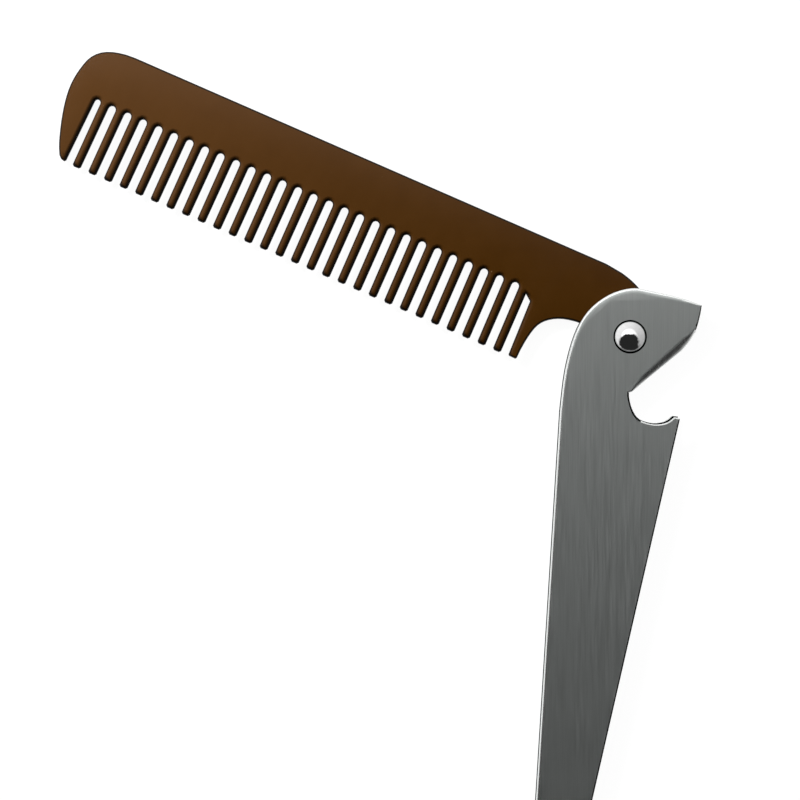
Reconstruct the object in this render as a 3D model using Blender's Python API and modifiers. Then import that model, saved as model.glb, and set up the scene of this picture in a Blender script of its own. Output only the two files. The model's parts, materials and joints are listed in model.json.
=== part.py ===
"""A folding comb: a toothed comb that turns on a rivet between the two plates of its handle.

The handle's head is a bottle opener, with a beak, a straight jaw and a notch. Metres, +Z up, with
the front face up. The origin lies on the back face, midway across the handle, below the rivet.
"""

import math

import bmesh
import bpy
from mathutils import Vector

MM = 0.001

# Layers, from the back face up
PLATE = 1.0 * MM
RUNNING_GAP = 0.3 * MM
COMB_THICKNESS = 1.5 * MM
SLOT = COMB_THICKNESS + 2 * RUNNING_GAP
HANDLE_THICKNESS = SLOT + 2 * PLATE

# The rivet's axis, at half the handle's thickness
HINGE = Vector((4.1 * MM, 30.0 * MM, HANDLE_THICKNESS / 2))
OPEN_ANGLE = math.radians(156.4)

# The handle's outline, in mm from the rivet's axis: x, y and the rounded rim's width and depth
CROWN = (
    (14.1, 6.2, 0.2, 0.2),
    (10.1, 7.6, 0.8, 0.15),
    (4.3, 8.95, 1.2, 0.2),
    (0.3, 9.5, 1.3, 0.2),
    (-4.2, 8.15, 1.3, 0.2),
    (-8.2, 5.0, 1.2, 0.2),
    (-10.8, 0.4, 0.9, 0.25),
    (-12.65, -6.5, 0.6, 0.3),
    (-13.65, -14.5, 0.5, 0.3),
)
HOOK = (
    (9.83, -16.04, 0.3, 0.3),
    (8.78, -15.9, 0.15, 0.15),
)
NOTCH = (
    (8.45, -16.15, 0.12, 0.12),
    (7.9, -16.62, 0.12, 0.12),
    (6.82, -17.12, 0.12, 0.12),
    (4.9, -17.33, 0.12, 0.12),
    (2.7, -16.8, 0.2, 0.2),
    (1.35, -15.75, 0.4, 0.4),
    (0.4, -14.1, 0.4, 0.4),
    (-0.1, -12.2, 0.4, 0.4),
    (-0.18, -11.0, 0.4, 0.4),
)
JAW = (
    (0.45, -10.8, 0.4, 0.4),
    (3.375, -8.43, 1.5, 0.7),
    (10.2, -2.9, 2.0, 0.9),
)
BEAK_END = (
    JAW[-1],
    (11.5, -1.4, 1.8, 0.9),
    (12.5, 0.1, 1.1, 0.8),
    (13.2, 2.0, 0.4, 0.4),
    (13.8, 4.4, 0.25, 0.25),
)
BACK_LIFT = 0.43
LIFT_FADE = 4.0
LEFT_EDGE_LEAN = math.radians(3.54)
RIGHT_EDGE_LEAN = math.radians(12.95)
TAIL_RADIUS = 3.0
TAIL_RIM = (0.5, 0.3)
RIGHT_EDGE_SHARES = (0.97, 0.03)
SHARPEST_CORNER = 0.5
CROWN_STEPS = 4
NOTCH_STEPS = 3
JAW_STEPS = 4
TAIL_STEPS = 12
HANDLE_RIM_SEGMENTS = 6

# The slot for the comb stops at the fold along the jaw and at the web in the tail
FOLD_WALL = 1.0
WEB_START = 121.5
SLOT_REACH = 40.0

# The comb's outline, in mm from the rivet's axis: x along the comb, y towards the teeth
SPINE_Y = -11.47
SPINE_START = 9.85
SPINE_END = 107.9
FAR_END = (
    (113.0, -11.35),
    (116.85, -10.3),
    (119.2, -8.25),
    (120.3, -5.2),
    (120.75, -1.7),
    (120.45, 1.85),
    (119.55, 5.85),
    (118.25, 9.9),
    (117.2, 12.1),
)
FAR_GUARD = (
    (116.6, 12.65),
    (115.9, 12.85),
    (115.57, 12.5),
)
REAR_GUARD = (
    (20.7, 1.35),
    (20.4, 12.6),
    (20.2, 12.85),
    (18.8, 12.9),
    (18.6, 12.6),
)
ARCH = (
    (18.55, 10.9),
    (18.2, 7.9),
    (17.4, 5.1),
    (15.8, 3.25),
    (13.3, 1.95),
    (9.85, 1.35),
    (8.2, 1.8),
    (6.9, 2.9),
)
HEEL = (
    (0.1, -8.3),
    (2.0, -9.6),
    (4.2, -10.5),
    (6.3, -11.05),
)
BOSS_RADIUS = 7.2
BOSS_START = math.radians(32.0)
BOSS_END = math.radians(256.0)
BOSS_STEPS = 20
CURVE_STEPS = 3

# The teeth fan out slightly, so their pitch at the tips is wider than at the roots
TOOTH_COUNT = 28
ROOT_PITCH = 3.335
TIP_PITCH = 3.348
FIRST_ROOT_X = 22.91
FIRST_TIP_X = 22.83
TOOTH_ROOT_WIDTH = 1.85
TOOTH_TIP_WIDTH = 1.73
TOOTH_TIP_Y = 13.0
FAR_GAP_SIDE_X = 115.04
TIP_CORNER = 0.35
GAP_TOP_Y = -1.0
REAR_GAP_TOP_Y = 0.35
GAP_ARC_STEPS = 6
COMB_RIM = 0.45 * MM
COMB_RIM_SEGMENTS = 2

# The rivet
SHANK_RADIUS = 1.6 * MM
HOLE_RADIUS = SHANK_RADIUS + RUNNING_GAP
DOME_RADIUS = 3.0 * MM
DOME_HEIGHT = 1.1 * MM
DOME_EDGE = 0.25 * MM
FRONT_RECESS_DEPTH = 0.4 * MM
BACK_HEAD_RADIUS = 2.9 * MM
BACK_HEAD_THICKNESS = 0.4 * MM
BACK_HEAD_CHAMFER = 0.15 * MM
BACK_RECESS_DEPTH = 0.5 * MM
DOME_STEPS = 8
ROUND_SIDES = 48

SMOOTH_ANGLE = math.radians(35)


def clear_scene():
    for obj in list(bpy.data.objects):
        bpy.data.objects.remove(obj)


def new_collection(name):
    collection = bpy.data.collections.new(name)
    bpy.context.scene.collection.children.link(collection)
    return collection


def new_material(name, colour, metallic, roughness):
    material = bpy.data.materials.new(name)
    material.use_nodes = True
    shader = material.node_tree.nodes["Principled BSDF"]
    shader.inputs["Base Color"].default_value = (*colour, 1.0)
    shader.inputs["Metallic"].default_value = metallic
    shader.inputs["Roughness"].default_value = roughness
    return material


def between(start, end, share):
    return tuple(a + (b - a) * share for a, b in zip(start, end))


def straight_run(start, end, steps):
    """Rows from start to end, both included."""
    return [between(start, end, i / steps) for i in range(steps + 1)]


def smooth_run(rows, steps):
    """Rows along a smooth curve that passes through each row given."""
    found = []
    for i in range(len(rows) - 1):
        before = rows[max(i - 1, 0)]
        start = rows[i]
        end = rows[i + 1]
        after = rows[min(i + 2, len(rows) - 1)]
        for step in range(steps):
            t = step / steps
            found.append(
                tuple(
                    b + t * (c - a) / 2 + t**2 * (a - 2.5 * b + 2 * c - d / 2)
                    + t**3 * (1.5 * (b - c) + (d - a) / 2)
                    for a, b, c, d in zip(before, start, end, after)
                )
            )
    return found + [rows[-1]]


def arc_run(centre, radius, start, end, steps):
    angles = [start + (end - start) * i / steps for i in range(steps + 1)]
    return [(centre[0] + radius * math.cos(a), centre[1] + radius * math.sin(a)) for a in angles]


def tail_run():
    """The rounded end of the handle: an arc that meets the left and the right edge."""
    left_normal = Vector((-math.cos(LEFT_EDGE_LEAN), math.sin(LEFT_EDGE_LEAN)))
    right_normal = Vector((math.cos(RIGHT_EDGE_LEAN), -math.sin(RIGHT_EDGE_LEAN)))
    left_reach = left_normal.dot(Vector(CROWN[-1][:2])) - TAIL_RADIUS
    right_reach = right_normal.dot(Vector(HOOK[0][:2])) - TAIL_RADIUS
    size = left_normal.cross(right_normal)
    centre = (
        (left_reach * right_normal.y - right_reach * left_normal.y) / size,
        (right_reach * left_normal.x - left_reach * right_normal.x) / size,
    )
    start = math.pi - LEFT_EDGE_LEAN
    end = 2 * math.pi - RIGHT_EDGE_LEAN
    run = arc_run(centre, TAIL_RADIUS, start, end, TAIL_STEPS)
    return [place + TAIL_RIM for place in run]


def lifted(rows, lift):
    """The rows of the notch or its hook, raised by the lift where they are low enough."""
    top = NOTCH[-1][1]
    return [(x, y + lift * min((top - y) / LIFT_FADE, 1.0), *rim) for x, y, *rim in rows]


def handle_outline(notch_lift):
    """The outline of one plate. The notch and its hook lie a little higher in the back plate."""
    tail = tail_run()
    right_edge = [between(HOOK[0], tail[-1], share)[:2] + HOOK[0][2:] for share in RIGHT_EDGE_SHARES]
    return (
        smooth_run(CROWN, CROWN_STEPS)
        + tail
        + right_edge
        + lifted(HOOK, notch_lift)
        + lifted(smooth_run(NOTCH, NOTCH_STEPS), notch_lift)
        + straight_run(JAW[0], JAW[1], JAW_STEPS)[:-1]
        + straight_run(JAW[1], JAW[2], JAW_STEPS)[:-1]
        + smooth_run(BEAK_END, CURVE_STEPS)
    )


def root_x(number):
    return FIRST_ROOT_X + number * ROOT_PITCH


def tooth_tip(number):
    """The tooth's tip from its far side to its near side."""
    centre = FIRST_TIP_X + number * TIP_PITCH
    half = TOOTH_TIP_WIDTH / 2
    return [
        (centre + half, TOOTH_TIP_Y - TIP_CORNER),
        (centre + half - TIP_CORNER, TOOTH_TIP_Y),
        (centre - half + TIP_CORNER, TOOTH_TIP_Y),
        (centre - half, TOOTH_TIP_Y - TIP_CORNER),
    ]


def gap_top(far_x, near_x):
    """The round top of the gap between two sides, from the far side to the near side."""
    radius = (far_x - near_x) / 2
    centre = (near_x + radius, GAP_TOP_Y + radius)
    return arc_run(centre, radius, 0.0, -math.pi, GAP_ARC_STEPS)


def teeth_run():
    """The teeth and the gaps before them, from the far guard back towards the rivet."""
    half = TOOTH_ROOT_WIDTH / 2
    far_side = FAR_GAP_SIDE_X
    run = []
    for number in range(TOOTH_COUNT - 1, -1, -1):
        run += gap_top(far_side, root_x(number) + half)
        run += tooth_tip(number)
        far_side = root_x(number) - half
    return run + [(far_side, REAR_GAP_TOP_Y)]


def comb_outline():
    return (
        [(SPINE_START, SPINE_Y)]
        + smooth_run(((SPINE_END, SPINE_Y),) + FAR_END, CURVE_STEPS)
        + list(FAR_GUARD)
        + teeth_run()
        + list(REAR_GUARD)
        + smooth_run(ARCH, CURVE_STEPS)
        + arc_run((0.0, 0.0), BOSS_RADIUS, BOSS_START, BOSS_END, BOSS_STEPS)
        + smooth_run(HEEL, CURVE_STEPS)
    )


def slot_outline():
    """All of the handle apart from the fold along the jaw and the web in the tail."""
    corner = Vector(JAW[0][:2])
    along = (Vector(JAW[-1][:2]) - corner).normalized()
    inward = along.orthogonal()
    tail = tail_run()
    down = Vector(tail[TAIL_STEPS // 2][:2]).normalized()
    across = down.orthogonal()
    fold_inner = corner + inward * FOLD_WALL
    points = (
        fold_inner + along * SLOT_REACH,
        fold_inner,
        corner - inward * FOLD_WALL,
        Vector((SLOT_REACH, 2 * corner.y)),
        down * WEB_START + across * SLOT_REACH,
        down * WEB_START - across * SLOT_REACH,
        Vector((-SLOT_REACH, SLOT_REACH)),
        Vector((SLOT_REACH, SLOT_REACH)),
    )
    return [tuple(point) for point in points]


def slab(name, outline, thickness, collection):
    """A flat solid with this outline in mm, lying half above and half below its own origin."""
    curve = bpy.data.curves.new(name, "CURVE")
    curve.dimensions = "2D"
    curve.fill_mode = "BOTH"
    curve.extrude = thickness / 2
    spline = curve.splines.new("POLY")
    spline.points.add(len(outline) - 1)
    for point, row in zip(spline.points, outline):
        point.co = (row[0] * MM, row[1] * MM, 0.0, 1.0)
    spline.use_cyclic_u = True
    drawn = bpy.data.objects.new(name + "_outline", curve)
    collection.objects.link(drawn)
    graph = bpy.context.evaluated_depsgraph_get()
    mesh = bpy.data.meshes.new_from_object(drawn.evaluated_get(graph))
    mesh.name = name
    solid = bpy.data.objects.new(name, mesh)
    solid.matrix_world = drawn.matrix_world
    collection.objects.link(solid)
    bpy.data.objects.remove(drawn)
    close_caps(mesh)
    return solid


def close_caps(mesh):
    """Joins the caps to the sides, makes each cap one face and turns the faces out."""
    bm = bmesh.new()
    bm.from_mesh(mesh)
    bmesh.ops.remove_doubles(bm, verts=bm.verts, dist=0.001 * MM)
    inside_caps = [
        edge for edge in bm.edges
        if len(edge.link_faces) == 2 and all(abs(face.normal.z) > 0.9 for face in edge.link_faces)
    ]
    bmesh.ops.dissolve_edges(bm, edges=inside_caps, use_verts=False)
    bmesh.ops.recalc_face_normals(bm, faces=bm.faces)
    bm.to_mesh(mesh)
    bm.free()


def round_rims(solid, width, segments):
    bm = bmesh.new()
    bm.from_mesh(solid.data)
    weights = bm.edges.layers.float.new("bevel_weight_edge")
    for edge in bm.edges:
        on_rim = abs(edge.verts[0].co.z - edge.verts[1].co.z) < 0.001 * MM
        edge[weights] = float(on_rim)
    bm.to_mesh(solid.data)
    bm.free()
    bevel = solid.modifiers.new("Rounded rims", "BEVEL")
    bevel.limit_method = "WEIGHT"
    bevel.width = width
    bevel.segments = segments
    bevel.use_clamp_overlap = False


def inward_steps(outline):
    """For each point, the move that takes it in by one unit from both of its sides."""
    points = [Vector(row[:2]) for row in outline]
    sides = [(points[(i + 1) % len(points)] - point).normalized() for i, point in enumerate(points)]
    normals = [Vector((-side.y, side.x)) for side in sides]
    steps = []
    for i, after in enumerate(normals):
        before = normals[i - 1]
        steps.append((before + after) / max(1 + before.dot(after), SHARPEST_CORNER))
    return steps


def rounded_slab(name, front, back, thickness, segments, collection):
    """A flat solid like slab's, with a front and a back outline of as many rows each.

    The width and the depth of the rounded rim, last in each row, change along the edge, so the
    solid is a loft of rings, one for each level.
    """
    angles = [math.pi / 2 * i / segments for i in range(segments + 1)]
    bm = bmesh.new()
    rings = [rim_ring(bm, back, thickness, angle, -1) for angle in angles[::-1]]
    rings += [rim_ring(bm, front, thickness, angle, 1) for angle in angles]
    bm.faces.new(rings[0][::-1])
    bm.faces.new(rings[-1])
    count = len(front)
    for lower, upper in zip(rings, rings[1:]):
        for i in range(count):
            after = (i + 1) % count
            bm.faces.new((lower[i], lower[after], upper[after]))
            bm.faces.new((lower[i], upper[after], upper[i]))
    mesh = bpy.data.meshes.new(name)
    bm.to_mesh(mesh)
    bm.free()
    solid = bpy.data.objects.new(name, mesh)
    collection.objects.link(solid)
    return solid


def rim_ring(bm, outline, thickness, angle, side):
    """One ring of a rounded rim: side is 1 in front and -1 behind, and angle runs up to the cap."""
    ring = []
    for (x, y, width, depth), step in zip(outline, inward_steps(outline)):
        inset = width * (1 - math.cos(angle))
        height = side * (thickness / 2 - depth * MM * (1 - math.sin(angle)))
        ring.append(bm.verts.new(((x + inset * step.x) * MM, (y + inset * step.y) * MM, height)))
    return ring


def turned(name, profile, collection):
    """A round solid from its outer side, top to bottom: rows of radius and height."""
    mesh = bpy.data.meshes.new(name)
    edges = [(i, i + 1) for i in range(len(profile) - 1)]
    mesh.from_pydata([(radius, 0.0, height) for radius, height in profile], edges, [])
    solid = bpy.data.objects.new(name, mesh)
    collection.objects.link(solid)
    screw = solid.modifiers.new("Turned", "SCREW")
    screw.steps = ROUND_SIDES
    screw.render_steps = ROUND_SIDES
    screw.use_merge_vertices = True
    screw.merge_threshold = 0.01 * MM
    return solid


def bore_profile():
    """The hole through both plates, with a shallow recess round each of the rivet's heads."""
    front = HANDLE_THICKNESS / 2
    front_radius = DOME_RADIUS + RUNNING_GAP
    back_radius = BACK_HEAD_RADIUS + RUNNING_GAP
    return [
        (0.0, 2 * front),
        (front_radius, 2 * front),
        (front_radius, front - FRONT_RECESS_DEPTH),
        (HOLE_RADIUS, front - FRONT_RECESS_DEPTH),
        (HOLE_RADIUS, BACK_RECESS_DEPTH - front),
        (back_radius, BACK_RECESS_DEPTH - front),
        (back_radius, -2 * front),
        (0.0, -2 * front),
    ]


def cut(solid, cutter):
    cutter.hide_render = True
    cutter.display_type = "WIRE"
    boolean = solid.modifiers.new(cutter.name, "BOOLEAN")
    boolean.operation = "DIFFERENCE"
    boolean.object = cutter


def finish(solid, material, hinge):
    solid.data.materials.append(material)
    solid.parent = hinge
    solid.data.shade_smooth()
    solid.data.set_sharp_from_angle(angle=SMOOTH_ANGLE)


def make_handle(parts, cutters, hinge):
    front = handle_outline(0.0)
    back = handle_outline(BACK_LIFT)
    handle = rounded_slab("handle", front, back, HANDLE_THICKNESS, HANDLE_RIM_SEGMENTS, parts)
    slot = slab("slot_cutter", slot_outline(), SLOT, cutters)
    bore = turned("handle_bore_cutter", bore_profile(), cutters)
    for cutter in (slot, bore):
        cutter.parent = hinge
        cut(handle, cutter)
    steel = new_material("brushed_steel", (0.42, 0.43, 0.42), 1.0, 0.35)
    finish(handle, steel, hinge)


def make_comb(parts, cutters, hinge):
    comb = slab("comb", comb_outline(), COMB_THICKNESS, parts)
    round_rims(comb, COMB_RIM, COMB_RIM_SEGMENTS)
    hole_profile = [
        (0.0, COMB_THICKNESS),
        (HOLE_RADIUS, COMB_THICKNESS),
        (HOLE_RADIUS, -COMB_THICKNESS),
        (0.0, -COMB_THICKNESS),
    ]
    hole = turned("comb_hole_cutter", hole_profile, cutters)
    hole.parent = hinge
    cut(comb, hole)
    brown = new_material("brown_plastic", (0.08, 0.028, 0.008), 0.0, 0.4)
    finish(comb, brown, hinge)
    comb.rotation_euler.z = OPEN_ANGLE


def rivet_profile():
    """The rivet's outer side, from the top of the dome down to the back head: radius and height."""
    base = HANDLE_THICKNESS / 2 - FRONT_RECESS_DEPTH + RUNNING_GAP
    edge_top = base + DOME_EDGE
    sphere = (DOME_RADIUS**2 + DOME_HEIGHT**2) / (2 * DOME_HEIGHT)
    slope = math.asin(DOME_RADIUS / sphere)
    centre = edge_top + DOME_HEIGHT - sphere
    angles = [slope * i / DOME_STEPS for i in range(DOME_STEPS + 1)]
    dome = [(sphere * math.sin(a), centre + sphere * math.cos(a)) for a in angles]
    back_top = BACK_RECESS_DEPTH - RUNNING_GAP - HANDLE_THICKNESS / 2
    back = back_top - BACK_HEAD_THICKNESS
    return dome + [
        (DOME_RADIUS, base),
        (SHANK_RADIUS, base),
        (SHANK_RADIUS, back_top),
        (BACK_HEAD_RADIUS, back_top),
        (BACK_HEAD_RADIUS, back + BACK_HEAD_CHAMFER),
        (BACK_HEAD_RADIUS - BACK_HEAD_CHAMFER, back),
        (0.0, back),
    ]


def make_rivet(parts, hinge):
    rivet = turned("rivet", rivet_profile(), parts)
    rivet.data.materials.append(new_material("polished_steel", (0.8, 0.8, 0.8), 1.0, 0.08))
    rivet.parent = hinge


def main():
    clear_scene()
    parts = new_collection("folding_comb")
    cutters = new_collection("cutters")
    hinge = bpy.data.objects.new("hinge", None)
    hinge.location = HINGE
    parts.objects.link(hinge)
    make_handle(parts, cutters, hinge)
    make_comb(parts, cutters, hinge)
    make_rivet(parts, hinge)


main()
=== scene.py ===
"""The looks of the folding comb: a brushed steel handle, a brown satin comb and a polished rivet.

Metres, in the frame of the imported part. The comb lies on a pale floor and is seen from above.
"""

import json
import math

import bmesh
import bpy
import numpy as np
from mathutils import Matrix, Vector
from mathutils.geometry import delaunay_2d_cdt


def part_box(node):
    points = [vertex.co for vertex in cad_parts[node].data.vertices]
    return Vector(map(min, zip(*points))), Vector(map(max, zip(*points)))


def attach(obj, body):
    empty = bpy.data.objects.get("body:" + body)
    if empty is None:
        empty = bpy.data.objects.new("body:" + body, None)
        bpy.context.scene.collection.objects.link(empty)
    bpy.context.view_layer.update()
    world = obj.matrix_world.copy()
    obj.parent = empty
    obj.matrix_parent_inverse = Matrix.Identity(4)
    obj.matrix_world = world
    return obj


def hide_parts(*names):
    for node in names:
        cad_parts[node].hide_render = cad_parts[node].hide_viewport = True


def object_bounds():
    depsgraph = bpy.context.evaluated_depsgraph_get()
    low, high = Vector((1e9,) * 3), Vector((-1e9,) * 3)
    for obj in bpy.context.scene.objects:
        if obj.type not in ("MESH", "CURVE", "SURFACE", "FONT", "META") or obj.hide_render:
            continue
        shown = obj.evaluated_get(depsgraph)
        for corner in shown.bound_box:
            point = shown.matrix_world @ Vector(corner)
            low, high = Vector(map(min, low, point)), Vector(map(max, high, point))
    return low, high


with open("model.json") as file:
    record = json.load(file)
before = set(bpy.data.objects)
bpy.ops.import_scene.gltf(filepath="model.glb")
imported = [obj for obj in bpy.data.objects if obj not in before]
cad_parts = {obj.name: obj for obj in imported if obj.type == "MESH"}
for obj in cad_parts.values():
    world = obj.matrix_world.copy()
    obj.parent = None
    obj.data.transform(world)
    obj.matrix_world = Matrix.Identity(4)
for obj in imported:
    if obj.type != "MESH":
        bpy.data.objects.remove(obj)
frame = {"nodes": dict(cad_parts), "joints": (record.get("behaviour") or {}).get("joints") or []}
CAD_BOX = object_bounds()

MM = 0.001
NODES = frame["nodes"]
HINGE = Vector(frame["joints"][0]["pos_m"])

# The view: the camera looks straight down, with +Y up in the picture
CAMERA_PLACE = (-41.02 * MM, 17.6 * MM)
CAMERA_RISE = 380.0 * MM
VIEW_WIDTH = 156.86 * MM
NEAREST_SEEN = 10 * MM

# The comb's own directions, along it from the rivet and across it towards the teeth, and the
# stretch along it and the level across it where its teeth are
COMB_ANGLE = math.radians(156.4)
COMB_WAY = np.array((math.cos(COMB_ANGLE), math.sin(COMB_ANGLE)))
TEETH_START = 20.3 * MM
TEETH_END = 115.65 * MM
TEETH_TOP = -1.05 * MM

# The comb's rounded rims
TOOTH_RIM = 0.9 * MM
BACK_RIM = 0.45 * MM
COMB_WALL = 0.16 * MM
RIM_STEPS = 8
LONGEST_STEP = 0.8 * MM
MITRE_LIMIT = 2.0
KEPT_SHARE = 0.97
HOLE_SIDES = 48

# The triangulation's kind of output, and how near it takes two points for one
OUTPUT_KIND = 4
SAME_POINT = 1e-7

# Painted shade darkens the comb along its edges, wider on the teeth's sides that face the rivet,
# away
#  from the light: the width of that band on the teeth's sides towards the rivet and at their tips,
#      on
#  their other sides and along the back, and the darkest share of it. It ends with the rounded rim,
#  however wide it is
NEAR_SHADE = 1.05 * MM
AWAY_SHADE = 0.36 * MM
BACK_SHADE = 0.7 * MM
EDGE_DARK = 0.3

# A side faces the rivet when its slant is below the first number. A tip is a side that lies
# further across the comb than the last one and whose slant is within the second
NEAR_SLANT = -0.5
TIP_SLANT = 0.9
TIPS_START = 6.0 * MM

# A painted sheen greys the comb towards its far end, nearest the lamp: where that starts and ends
# in X, and how far it goes
SHEEN_START = -20 * MM
SHEEN_END = -95 * MM
SHEEN_SHARE = 0.5

# Painted shade on the handle: its plates' inner faces, the rivet's recess, and the rims that face
# the right,
#  by the slope and the turn of their normals, are near-black. The other rims get a painted
#  highlight
INNER_LEVEL = 1.2 * MM
RECESS_RADIUS = 3.35 * MM
DARK_SLOPES = (0.1, 0.997)
DARK_TURNS = (math.radians(-28), math.radians(60))
# Rims in this slope range that don't face the right get the painted highlight
BRIGHT_SLOPES = (0.1, 0.985)
BRUSHED, SHADED, BRIGHT = range(3)

# Base colours, the darker and the lighter of each pair, linear
STEEL = (0.59, 0.62, 0.605), (0.66, 0.69, 0.675)
# The painted shade of the handle's inner faces, recess and right-facing rims
PAINTED_SHADE_STEEL = (0.003, 0.003, 0.003), (0.005, 0.005, 0.005)
# The painted highlight of the rims that don't face the right
RIM = (0.84, 0.86, 0.85), (0.93, 0.95, 0.94)
RIVET = (0.86, 0.86, 0.86), (0.93, 0.93, 0.93)
BROWN = (0.0350, 0.0126, 0.0011), (0.0398, 0.0148, 0.0017)
PAINTED_SHEEN_GREY = (0.0386, 0.0179, 0.0068)
PAINTED_EDGE_SHADE = (0.0015, 0.0009, 0.0005)
SPECK = (0.30, 0.20, 0.10)
WHITE = (1.0, 1.0, 1.0, 1.0)

# Roughness, from and to
STEEL_ROUGHNESS = (0.31, 0.37)
PAINTED_SHADE_ROUGHNESS = (0.5, 0.6)
RIM_ROUGHNESS = (0.22, 0.28)
RIVET_ROUGHNESS = (0.03, 0.07)
BROWN_ROUGHNESS = (0.22, 0.26)
FLOOR_ROUGHNESS = 0.9

# The shaders' other numbers: brushing, the painted shade's glancing reflection, the plastic's
#  gloss, and how strong and deep the fine relief is
STEEL_ANISOTROPY = 0.3
PAINTED_SHADE_TINT = 0.004
BROWN_GLOSS = 0.12
STEEL_RELIEF = 0.15, 0.01 * MM
BROWN_RELIEF = 0.1, 0.004 * MM

# The noises' detail, and their grains along X, Y and Z
ONE_OCTAVE, TWO_OCTAVES, THREE_OCTAVES = 1.0, 2.0, 3.0
STREAK_GRAIN = (0.14 * MM, 9 * MM, 0.14 * MM)
HAIR_GRAIN = (0.07 * MM, 5 * MM, 0.07 * MM)
SCALE_GRAIN = (0.4 * MM, 2 * MM, 0.4 * MM)
WEAR_GRAIN = (0.6 * MM, 3 * MM, 0.6 * MM)
MOTTLE_GRAIN = (6 * MM, 6 * MM, 6 * MM)
SKIN_GRAIN = (0.18 * MM, 0.18 * MM, 0.18 * MM)
SPECK_GRAIN = (0.9 * MM, 0.9 * MM, 0.9 * MM)
SMEAR_GRAIN = (0.8 * MM, 0.5 * MM, 0.8 * MM)

# The range that a noise mostly fills, and that of two added, and where specks start and end
NOISE_RANGE = (0.3, 0.7)
TWO_NOISES_RANGE = (0.7, 1.3)
SPECK_RANGE = (0.80, 0.84)
SPECK_SHARE = 0.35

# The lamp: a soft box to the upper left of the comb's far end
LAMP_PLACE = (-150 * MM, 150 * MM, 130 * MM)
LAMP_SIZE = 60 * MM
LAMP_POWER = 0.79

# The studio: a sky that is brighter to the upper left and dimmer towards the horizon, with a dark
# patch over the lower half
SKY_SPAN = 1.4
SKY_HIGH = 0.98
SKY_LOW = 0.72
SKY_LOW_SHARE = 0.38
SKY_LEFT = 2.6
SKY_RIGHT = 1.0
PATCH_GLOW = 0.02
PATCH_CENTRE = (0.0, -0.355)
PATCH_HALF = (0.74, 0.62)
PATCH_SQUARENESS = 2.3
PATCH_BLUR = 0.08
PATCH_RAGGED = 0.4
PATCH_GRAIN = 5.0
PATCH_DETAIL = 4.0
FLOOR_GLOW = 0.95
FLOOR_SHADE = 0.08
FLOOR_SIZE = 3.0

SMOOTH_ANGLE = math.radians(35)
WELD_DISTANCE = 0.002 * MM
FLAT_ANGLE = math.radians(0.5)
FLAT_SHARE = 0.99999


def add_object(name, data):
    obj = bpy.data.objects.new(name, data)
    bpy.context.scene.collection.objects.link(obj)
    return obj


def welded(node):
    """A bmesh of a node with its split corners joined."""
    bm = bmesh.new()
    bm.from_mesh(NODES[node].data)
    bmesh.ops.remove_doubles(bm, verts=bm.verts, dist=WELD_DISTANCE)
    return bm


def smooth(mesh):
    mesh.shade_smooth()
    mesh.set_sharp_from_angle(angle=SMOOTH_ANGLE)


def loops_at(node, height):
    """The closed loops of a node's corners at this height, each in order."""
    bm = welded(node)
    near = {v for v in bm.verts if abs(v.co.z - height) < WELD_DISTANCE}
    beside = {v: [e.other_vert(v) for e in v.link_edges if e.other_vert(v) in near] for v in near}
    loops = []
    left = {v for v in near if len(beside[v]) == 2}
    while left:
        loop = [min(left, key=lambda v: (v.co.x, v.co.y))]
        left.discard(loop[0])
        while True:
            ahead = [v for v in beside[loop[-1]] if v in left]
            if not ahead:
                break
            loop.append(ahead[0])
            left.discard(ahead[0])
        loops.append(np.array([(v.co.x, v.co.y) for v in loop]))
    bm.free()
    return loops


def signed_area(points):
    after = np.roll(points, -1, axis=0)
    return 0.5 * float(np.sum(points[:, 0] * after[:, 1] - after[:, 0] * points[:, 1]))


def circle(radius, sides):
    """Points round the rivet's axis."""
    turns = [2 * math.pi * i / sides for i in range(sides)]
    ring = [(HINGE.x + radius * math.cos(t), HINGE.y + radius * math.sin(t)) for t in turns]
    return np.array(ring)


def resampled(points, step):
    """The same closed outline with its long sides split into even steps."""
    found = []
    for start, end in zip(points, np.roll(points, -1, axis=0)):
        parts = max(1, math.ceil(np.linalg.norm(end - start) / step))
        found += [start + (end - start) * i / parts for i in range(parts)]
    return np.array(found)


def inward(points):
    """For each corner of an anticlockwise outline, the move that takes it in by one unit."""
    sides = np.roll(points, -1, axis=0) - points
    sides /= np.linalg.norm(sides, axis=1)[:, None]
    normals = np.stack([-sides[:, 1], sides[:, 0]], axis=1)
    before = np.roll(normals, 1, axis=0)
    total = before + normals
    size = np.maximum(1 + np.sum(before * normals, axis=1), 1 / MITRE_LIMIT)
    return total / size[:, None]


def distance(points, starts, ends):
    """The distance from each point to the nearest of the segments."""
    best = np.full(len(points), np.inf)
    for start, end in zip(starts, ends):
        along = end - start
        share = np.clip((points - start) @ along / (along @ along), 0, 1)
        gap = np.linalg.norm(points - start - share[:, None] * along, axis=1)
        best = np.minimum(best, gap)
    return best


def distance_to(points, outline, chosen):
    """The distance from each point to the nearest of the outline's chosen sides."""
    return distance(points, outline[chosen], np.roll(outline, -1, axis=0)[chosen])


def rounded_height(gap, rim, half):
    """Half the comb's thickness at this distance from its edge, with an elliptic rim."""
    share = np.clip(1 - gap / rim, 0, 1)
    return COMB_WALL / 2 + (half - COMB_WALL / 2) * np.sqrt(1 - share**2)


def comb_places(points):
    """Points as seen along the comb from the rivet, and across it towards the teeth."""
    moved = points - np.array(HINGE.xy)
    return moved @ COMB_WAY, moved @ np.array((-COMB_WAY[1], COMB_WAY[0]))


def comb_outline(middle):
    """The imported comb's outline, anticlockwise."""
    wall_top = min(v.co.z for v in NODES["comb"].data.vertices if v.co.z > middle)
    outline = max(loops_at("comb", wall_top), key=lambda loop: abs(signed_area(loop)))
    if signed_area(outline) < 0:
        outline = outline[::-1]
    return resampled(outline, LONGEST_STEP)


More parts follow.
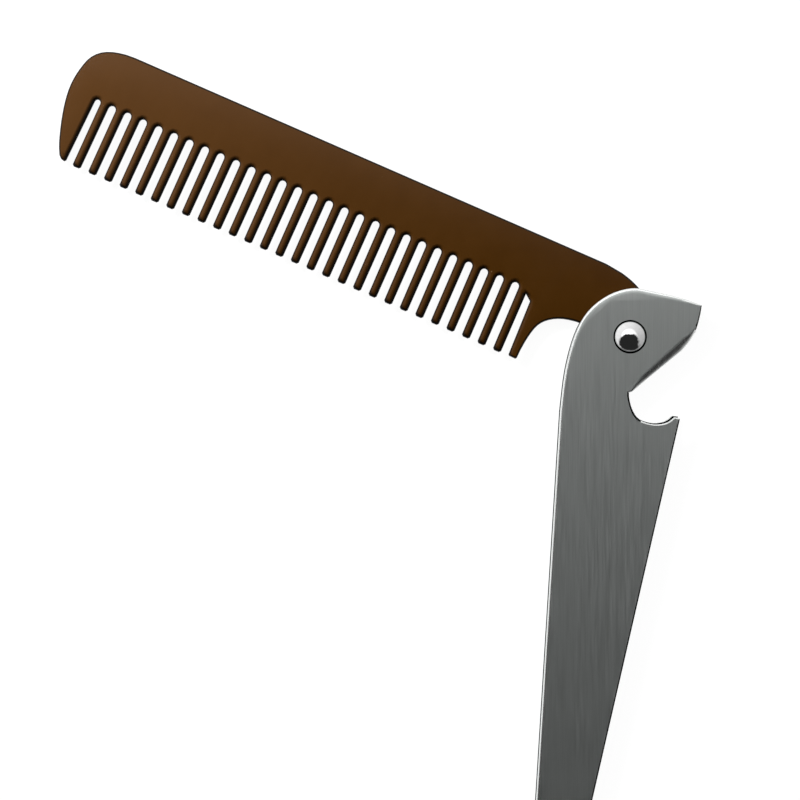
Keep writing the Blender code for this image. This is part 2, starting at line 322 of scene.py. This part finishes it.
def sides_of_teeth(outline):
    """For each side of the outline, whether it belongs to the teeth."""
    along, across = comb_places(outline)
    toothed = (across > TEETH_TOP) & (along > TEETH_START) & (along < TEETH_END)
    return toothed & np.roll(toothed, -1)


def inner_rings(outline, toothed):
    """Points inside the outline, in rings that follow it and are closer together at the edge."""
    moves = inward(outline)
    rings = []
    for rim, chosen in ((TOOTH_RIM, toothed), (BACK_RIM, ~toothed)):
        for step in range(1, RIM_STEPS + 1):
            offset = rim * (1 - math.cos(math.pi / 2 * step / RIM_STEPS))
            tried = (outline + moves * offset)[chosen]
            gaps = distance(tried, outline, np.roll(outline, -1, axis=0))
            rings.append(tried[gaps > KEPT_SHARE * offset])
    return np.concatenate(rings)


def flat_comb(outline, toothed):
    """The comb as flat triangles, with its hole open: their corners and their faces."""
    hole_radius = min((v.co - HINGE).xy.length for v in NODES["comb"].data.vertices)
    hole = circle(hole_radius, HOLE_SIDES)
    given = np.concatenate([outline, hole, inner_rings(outline, toothed)])
    count = len(outline)
    edges = [(i, (i + 1) % count) for i in range(count)]
    edges += [(count + i, count + (i + 1) % HOLE_SIDES) for i in range(HOLE_SIDES)]
    points = [Vector(p) for p in given]
    flat = delaunay_2d_cdt(points, edges, [], OUTPUT_KIND, SAME_POINT)
    places = np.array([tuple(p) for p in flat[0]])
    from_axis = [np.linalg.norm(places[face].mean(axis=0) - HINGE.xy) for face in flat[2]]
    return places, [tuple(face) for face, gap in zip(flat[2], from_axis) if gap > hole_radius]


def comb_shade(places, outline, toothed, tooth_gaps, back_gaps):
    """How brown each corner is against the painted edge shade, from 0 at the comb's edge to 1
    inside its dark band.
    """
    across = comb_places(outline)[1]
    sides = np.roll(outline, -1, axis=0) - outline
    slant = (sides[:, 1] * COMB_WAY[0] - sides[:, 0] * COMB_WAY[1]) / np.linalg.norm(sides, axis=1)
    tips = (across > TIPS_START) & (np.abs(slant) < TIP_SLANT)
    near = toothed & (tips | (slant < NEAR_SLANT))
    near_gaps = distance_to(places, outline, near)
    away_gaps = distance_to(places, outline, toothed & ~near)
    shade = np.minimum(near_gaps / NEAR_SHADE, away_gaps / AWAY_SHADE)
    shade = np.minimum(shade, back_gaps / BACK_SHADE)
    inmost = np.minimum(tooth_gaps / TOOTH_RIM, back_gaps / BACK_RIM) > KEPT_SHARE
    shade[inmost] = 1.0
    return shade.clip(0, 1)


def closed_shell(mesh, places, faces, middle, heights):
    """Fills the mesh with the flat faces above and below the middle, and a wall between them."""
    total = len(places)
    corners = [(x, y, middle + h) for (x, y), h in zip(places, heights)]
    corners += [(x, y, middle - h) for (x, y), h in zip(places, heights)]
    below = [tuple(i + total for i in reversed(face)) for face in faces]
    mesh.from_pydata(corners, [], faces + below)
    bm = bmesh.new()
    bm.from_mesh(mesh)
    bm.verts.ensure_lookup_table()
    rims = [e for e in bm.edges if len(e.link_faces) == 1 and e.verts[0].index < total]
    for edge in rims:
        start, end = edge.verts
        bm.faces.new((start, end, bm.verts[end.index + total], bm.verts[start.index + total]))
    bmesh.ops.recalc_face_normals(bm, faces=bm.faces)
    bm.to_mesh(mesh)
    bm.free()


def make_comb():
    """The comb with rounded rims and nearly half-round teeth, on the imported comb's outline."""
    low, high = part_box("comb")
    middle = (low.z + high.z) / 2
    half = (high.z - low.z) / 2
    outline = comb_outline(middle)
    toothed = sides_of_teeth(outline)
    places, faces = flat_comb(outline, toothed)
    tooth_gaps = distance_to(places, outline, toothed)
    back_gaps = distance_to(places, outline, ~toothed)
    heights = np.minimum(
        rounded_height(tooth_gaps, TOOTH_RIM, half),
        rounded_height(back_gaps, BACK_RIM, half),
    )
    mesh = bpy.data.meshes.new("moulded_comb")
    closed_shell(mesh, places, faces, middle, heights)
    # The painted edge shade, kept on the corners for the material to read
    shade = comb_shade(places, outline, toothed, tooth_gaps, back_gaps)
    values = mesh.attributes.new("shade", "FLOAT", "POINT").data
    values.foreach_set("value", np.tile(shade, 2))
    smooth(mesh)
    piece = add_object("moulded_comb", mesh)
    mesh.materials.append(satin_brown())
    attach(piece, "comb")
    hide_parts("comb")


def steel_kind(face, middle):
    """Which of the handle's materials a face has: brushed steel, painted shade or a painted rim
    highlight.
    """
    centre = face.calc_center_median()
    slope = abs(face.normal.z)
    turn = math.atan2(face.normal.y, face.normal.x)
    inside = abs(centre.z - middle) < INNER_LEVEL and slope > FLAT_SHARE
    recess = (centre - HINGE).xy.length < RECESS_RADIUS
    dark_slope = DARK_SLOPES[0] < slope < DARK_SLOPES[1]
    if inside or recess or (dark_slope and DARK_TURNS[0] < turn < DARK_TURNS[1]):
        return SHADED
    return BRIGHT if BRIGHT_SLOPES[0] < slope < BRIGHT_SLOPES[1] else BRUSHED


def keep_faces_flat(mesh):
    """Gives every corner on a flat face that face's own normal, so that the rims blend into it."""
    flat = {}
    for face in mesh.polygons:
        if abs(face.normal.z) > FLAT_SHARE:
            for corner in face.vertices:
                flat[corner] = math.copysign(1.0, face.normal.z)
    normals = []
    for face in mesh.polygons:
        for corner in face.vertices:
            up = flat.get(corner, 0.0)
            blends = face.normal.z * up > math.cos(SMOOTH_ANGLE)
            normals.append((0.0, 0.0, up) if blends else (0.0, 0.0, 0.0))
    mesh.normals_split_custom_set(normals)


def make_handle():
    """The handle's two plates, with smooth rims and truly flat faces."""
    bm = welded("handle")
    bmesh.ops.dissolve_limit(
        bm, angle_limit=FLAT_ANGLE, use_dissolve_boundaries=False, verts=bm.verts, edges=bm.edges
    )
    low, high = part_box("handle")
    for face in bm.faces:
        face.material_index = steel_kind(face, (low.z + high.z) / 2)
    mesh = bpy.data.meshes.new("steel_handle")
    bm.to_mesh(mesh)
    bm.free()
    smooth(mesh)
    keep_faces_flat(mesh)
    piece = add_object("steel_handle", mesh)
    for material in (brushed_steel(), painted_shade_steel(), painted_highlight_steel()):
        mesh.materials.append(material)
    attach(piece, "handle")
    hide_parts("handle")


def make_rivet():
    """The rivet with a mirror-smooth dome."""
    bm = welded("rivet")
    mesh = bpy.data.meshes.new("polished_rivet")
    bm.to_mesh(mesh)
    bm.free()
    smooth(mesh)
    piece = add_object("polished_rivet", mesh)
    mesh.materials.append(polished_steel())
    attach(piece, "handle")
    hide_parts("rivet")


def new_material(name):
    material = bpy.data.materials.new(name)
    material.use_nodes = True
    return material, material.node_tree, material.node_tree.nodes["Principled BSDF"]


def add_node(tree, kind, values=None, **settings):
    node = tree.nodes.new(kind)
    for name, value in settings.items():
        setattr(node, name, value)
    for name, value in (values or {}).items():
        node.inputs[name].default_value = value
    return node


def do_math(tree, operation, *values):
    """One math node, whose inputs are numbers or other nodes' outputs."""
    found = add_node(tree, "ShaderNodeMath", operation=operation)
    for socket, value in zip(found.inputs, values):
        if isinstance(value, (int, float)):
            socket.default_value = value
        else:
            tree.links.new(value, socket)
    return found.outputs[0]


def noise(tree, size, detail):
    """Noise in the object's own frame, with grains of this size along X, Y and Z."""
    place = add_node(tree, "ShaderNodeTexCoord")
    scaled = add_node(tree, "ShaderNodeMapping", {"Scale": [1 / s for s in size]})
    found = add_node(tree, "ShaderNodeTexNoise", {"Scale": 1.0, "Detail": detail})
    tree.links.new(place.outputs["Object"], scaled.inputs["Vector"])
    tree.links.new(scaled.outputs["Vector"], found.inputs["Vector"])
    return found.outputs["Fac"]


def spread(tree, value, low, high, start=NOISE_RANGE[0], end=NOISE_RANGE[1]):
    """The value's range from start to end, spread out from low to high and held there."""
    found = add_node(
        tree,
        "ShaderNodeMapRange",
        {"From Min": start, "From Max": end, "To Min": low, "To Max": high},
    )
    tree.links.new(value, found.inputs["Value"])
    return found.outputs["Result"]


def shades(tree, value, dark, light):
    """A colour between two, each a colour or another node's output, by a value from 0 to 1."""
    found = add_node(tree, "ShaderNodeMix", data_type="RGBA")
    for socket, colour in zip(found.inputs[6:8], (dark, light)):
        if isinstance(colour, tuple):
            socket.default_value = (*colour, 1.0)
        else:
            tree.links.new(colour, socket)
    tree.links.new(value, found.inputs[0])
    return found.outputs[2]


def relief(tree, shader, height, strength, depth):
    """Fine relief on the shader's surface."""
    bump = add_node(tree, "ShaderNodeBump", {"Strength": strength, "Distance": depth})
    tree.links.new(height, bump.inputs["Height"])
    tree.links.new(bump.outputs["Normal"], shader.inputs["Normal"])


def plain_metal(name, grain, colours, roughness):
    """A metal whose colour and roughness vary with one noise."""
    material, tree, shader = new_material(name)
    marks = noise(tree, grain, THREE_OCTAVES)
    colour = shades(tree, spread(tree, marks, 0.0, 1.0), *colours)
    tree.links.new(colour, shader.inputs["Base Color"])
    tree.links.new(spread(tree, marks, *roughness), shader.inputs["Roughness"])
    shader.inputs["Metallic"].default_value = 1.0
    return material, shader


def brushed_steel():
    """The steel of the plates' faces, brushed lengthwise."""
    material, tree, shader = new_material("brushed_steel")
    streaks = noise(tree, STREAK_GRAIN, TWO_OCTAVES)
    hairs = noise(tree, HAIR_GRAIN, TWO_OCTAVES)
    grain = spread(tree, do_math(tree, "ADD", streaks, hairs), 0.0, 1.0, *TWO_NOISES_RANGE)
    tree.links.new(shades(tree, grain, *STEEL), shader.inputs["Base Color"])
    tree.links.new(spread(tree, streaks, *STEEL_ROUGHNESS), shader.inputs["Roughness"])
    shader.inputs["Metallic"].default_value = 1.0
    shader.inputs["Anisotropic"].default_value = STEEL_ANISOTROPY
    lengthwise = add_node(tree, "ShaderNodeCombineXYZ", {"Y": 1.0})
    tree.links.new(lengthwise.outputs[0], shader.inputs["Tangent"])
    relief(tree, shader, grain, *STEEL_RELIEF)
    return material


def painted_shade_steel():
    """Painted shade: near-black, dull steel on the inner faces, the rivet's recess and the rims to
    the right.
    """
    material, shader = plain_metal("painted_shade_steel", SCALE_GRAIN, PAINTED_SHADE_STEEL, PAINTED_SHADE_ROUGHNESS)
    shader.inputs["Specular Tint"].default_value = (*[PAINTED_SHADE_TINT] * 3, 1.0)
    return material


def painted_highlight_steel():
    """A painted highlight: brighter, smoother steel on the rims that don't face the right."""
    return plain_metal("painted_highlight_steel", WEAR_GRAIN, RIM, RIM_ROUGHNESS)[0]


def polished_steel():
    """The rivet's steel, with faint smears."""
    return plain_metal("polished_steel", SMEAR_GRAIN, RIVET, RIVET_ROUGHNESS)[0]


def satin_brown():
    """Dark brown plastic with specks, a painted sheen greying its far end, and painted shade along
    its edges.
    """
    material, tree, shader = new_material("satin_brown")
    mottle = noise(tree, MOTTLE_GRAIN, THREE_OCTAVES)
    skin = noise(tree, SKIN_GRAIN, TWO_OCTAVES)
    brown = shades(tree, spread(tree, mottle, 0.0, 1.0), *BROWN)
    # Painted sheen: the comb's colour turns greyer towards its far end
    axes = add_node(tree, "ShaderNodeSeparateXYZ")
    tree.links.new(add_node(tree, "ShaderNodeTexCoord").outputs["Object"], axes.inputs[0])
    painted_sheen = spread(tree, axes.outputs["X"], SHEEN_SHARE, 0.0, SHEEN_END, SHEEN_START)
    brown = shades(tree, painted_sheen, brown, PAINTED_SHEEN_GREY)
    specks = noise(tree, SPECK_GRAIN, ONE_OCTAVE)
    flecked = shades(tree, spread(tree, specks, 0.0, SPECK_SHARE, *SPECK_RANGE), brown, SPECK)
    # Painted shade: the comb turns nearly black towards its edges
    shade = add_node(tree, "ShaderNodeAttribute", attribute_name="shade")
    inner = spread(tree, shade.outputs["Fac"], 0.0, 1.0, EDGE_DARK, 1.0)
    tree.links.new(shades(tree, inner, PAINTED_EDGE_SHADE, flecked), shader.inputs["Base Color"])
    tree.links.new(spread(tree, skin, *BROWN_ROUGHNESS), shader.inputs["Roughness"])
    shader.inputs["Specular IOR Level"].default_value = BROWN_GLOSS
    relief(tree, shader, skin, *BROWN_RELIEF)
    return material


def make_floor():
    mesh = bpy.data.meshes.new("floor")
    bm = bmesh.new()
    bmesh.ops.create_grid(bm, x_segments=1, y_segments=1, size=FLOOR_SIZE)
    bm.to_mesh(mesh)
    bm.free()
    floor = add_object("floor", mesh)
    floor.location.z = CAD_BOX[0].z
    material, tree, shader = new_material("pale_floor")
    shader.inputs["Base Color"].default_value = (*[FLOOR_SHADE] * 3, 1.0)
    shader.inputs["Roughness"].default_value = FLOOR_ROUGHNESS
    shader.inputs["Emission Color"].default_value = WHITE
    shader.inputs["Emission Strength"].default_value = FLOOR_GLOW
    mesh.materials.append(material)


def patch_edge(tree, place, axes):
    """A value over the sky that is 1 at the dark patch's ragged edge and less inside it."""
    total = None
    for axis, centre, half in zip("XY", PATCH_CENTRE, PATCH_HALF):
        off = do_math(tree, "SUBTRACT", axes.outputs[axis], centre)
        size = do_math(tree, "ABSOLUTE", do_math(tree, "DIVIDE", off, half))
        raised = do_math(tree, "POWER", size, PATCH_SQUARENESS)
        total = raised if total is None else do_math(tree, "ADD", total, raised)
    radius = do_math(tree, "POWER", total, 1 / PATCH_SQUARENESS)
    rough = add_node(tree, "ShaderNodeTexNoise", {"Scale": PATCH_GRAIN, "Detail": PATCH_DETAIL})
    tree.links.new(place.outputs["Generated"], rough.inputs["Vector"])
    centred = do_math(tree, "SUBTRACT", rough.outputs["Fac"], 0.5)
    return do_math(tree, "ADD", radius, do_math(tree, "MULTIPLY", centred, PATCH_RAGGED))


def make_sky():
    """A bright sky all round, with a ragged dark patch overhead that the flat faces reflect."""
    world = bpy.data.worlds.new("studio")
    bpy.context.scene.world = world
    world.use_nodes = True
    tree = world.node_tree
    place = add_node(tree, "ShaderNodeTexCoord")
    axes = add_node(tree, "ShaderNodeSeparateXYZ")
    tree.links.new(place.outputs["Generated"], axes.inputs[0])
    edge = patch_edge(tree, place, axes)
    outside = spread(tree, edge, 0.0, 1.0, 1 - PATCH_BLUR, 1 + PATCH_BLUR)
    leftward = do_math(tree, "SUBTRACT", axes.outputs["Y"], axes.outputs["X"])
    lit = spread(tree, leftward, SKY_RIGHT, SKY_LEFT, -SKY_SPAN, SKY_SPAN)
    upward = spread(tree, axes.outputs["Z"], SKY_LOW_SHARE, 1.0, SKY_LOW, SKY_HIGH)
    lit = do_math(tree, "MULTIPLY", lit, upward)
    strength = do_math(tree, "ADD", do_math(tree, "MULTIPLY", outside, lit), PATCH_GLOW)
    background = tree.nodes["Background"]
    background.inputs["Color"].default_value = WHITE
    tree.links.new(strength, background.inputs["Strength"])


def make_lamp():
    """A soft lamp that the camera and the reflections don't show."""
    data = bpy.data.lights.new("lamp", "AREA")
    data.size = LAMP_SIZE
    data.energy = LAMP_POWER
    lamp = add_object("lamp", data)
    lamp.location = LAMP_PLACE
    aim = Vector((*CAMERA_PLACE, 0.0)) - lamp.location
    lamp.rotation_euler = aim.to_track_quat("-Z", "Y").to_euler()
    lamp.visible_camera = False
    lamp.visible_glossy = False


def make_camera():
    data = bpy.data.cameras.new("camera")
    data.lens = data.sensor_width * CAMERA_RISE / VIEW_WIDTH
    data.clip_start = NEAREST_SEEN
    camera = add_object("camera", data)
    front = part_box("handle")[1].z
    camera.location = (*CAMERA_PLACE, front + CAMERA_RISE)
    bpy.context.scene.camera = camera


make_camera()
make_comb()
make_handle()
make_rivet()
make_floor()
make_sky()
make_lamp()
bpy.context.scene.view_settings.view_transform = "Standard"
